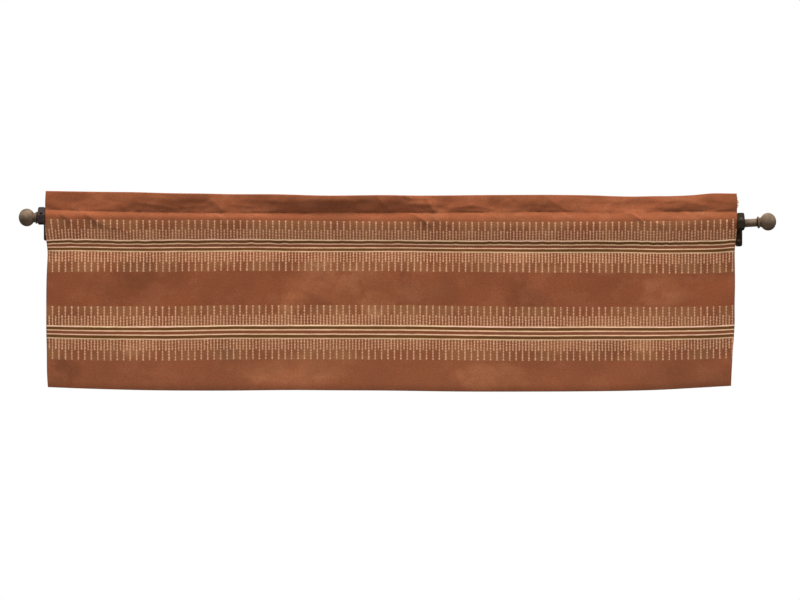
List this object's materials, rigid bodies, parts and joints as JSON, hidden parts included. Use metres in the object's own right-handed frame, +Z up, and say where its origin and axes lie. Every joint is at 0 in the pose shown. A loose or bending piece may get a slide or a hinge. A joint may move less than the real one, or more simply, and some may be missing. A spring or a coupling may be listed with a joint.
{
  "type": "rod-pocket window valance on a curtain rod",
  "caption": "Straight rod-pocket cloth valance with a header and woven-look border bands, hung on a round curtain rod with ball finials in wall brackets.",
  "frame": {"origin": "on the wall plane, midway between the two brackets, at the rod's nominal height", "axes": "+X along the rod to the right as seen from the room, +Y into the wall, +Z up"},
  "size_m": [1.5056, 0.0747, 0.3993],
  "materials": {
    "cloth": "matt, suede-like, mottled terracotta with peach and brown border bands",
    "antique_brass": "satin antique brass",
    "black_bronze": "satin black-bronze paint",
    "screws": "dark satin"
  },
  "bodies": {
    "root": {"valance_cloth": "cloth", "rod": "antique_brass", "finial_left": "antique_brass", "finial_right": "antique_brass", "bracket_left": "black_bronze", "bracket_right": "black_bronze", "set_screw_left": "screws", "set_screw_right": "screws", "wall_screw_left_lower": "screws", "wall_screw_left_upper": "screws", "wall_screw_right_lower": "screws", "wall_screw_right_upper": "screws"}
  },
  "joints": []
}
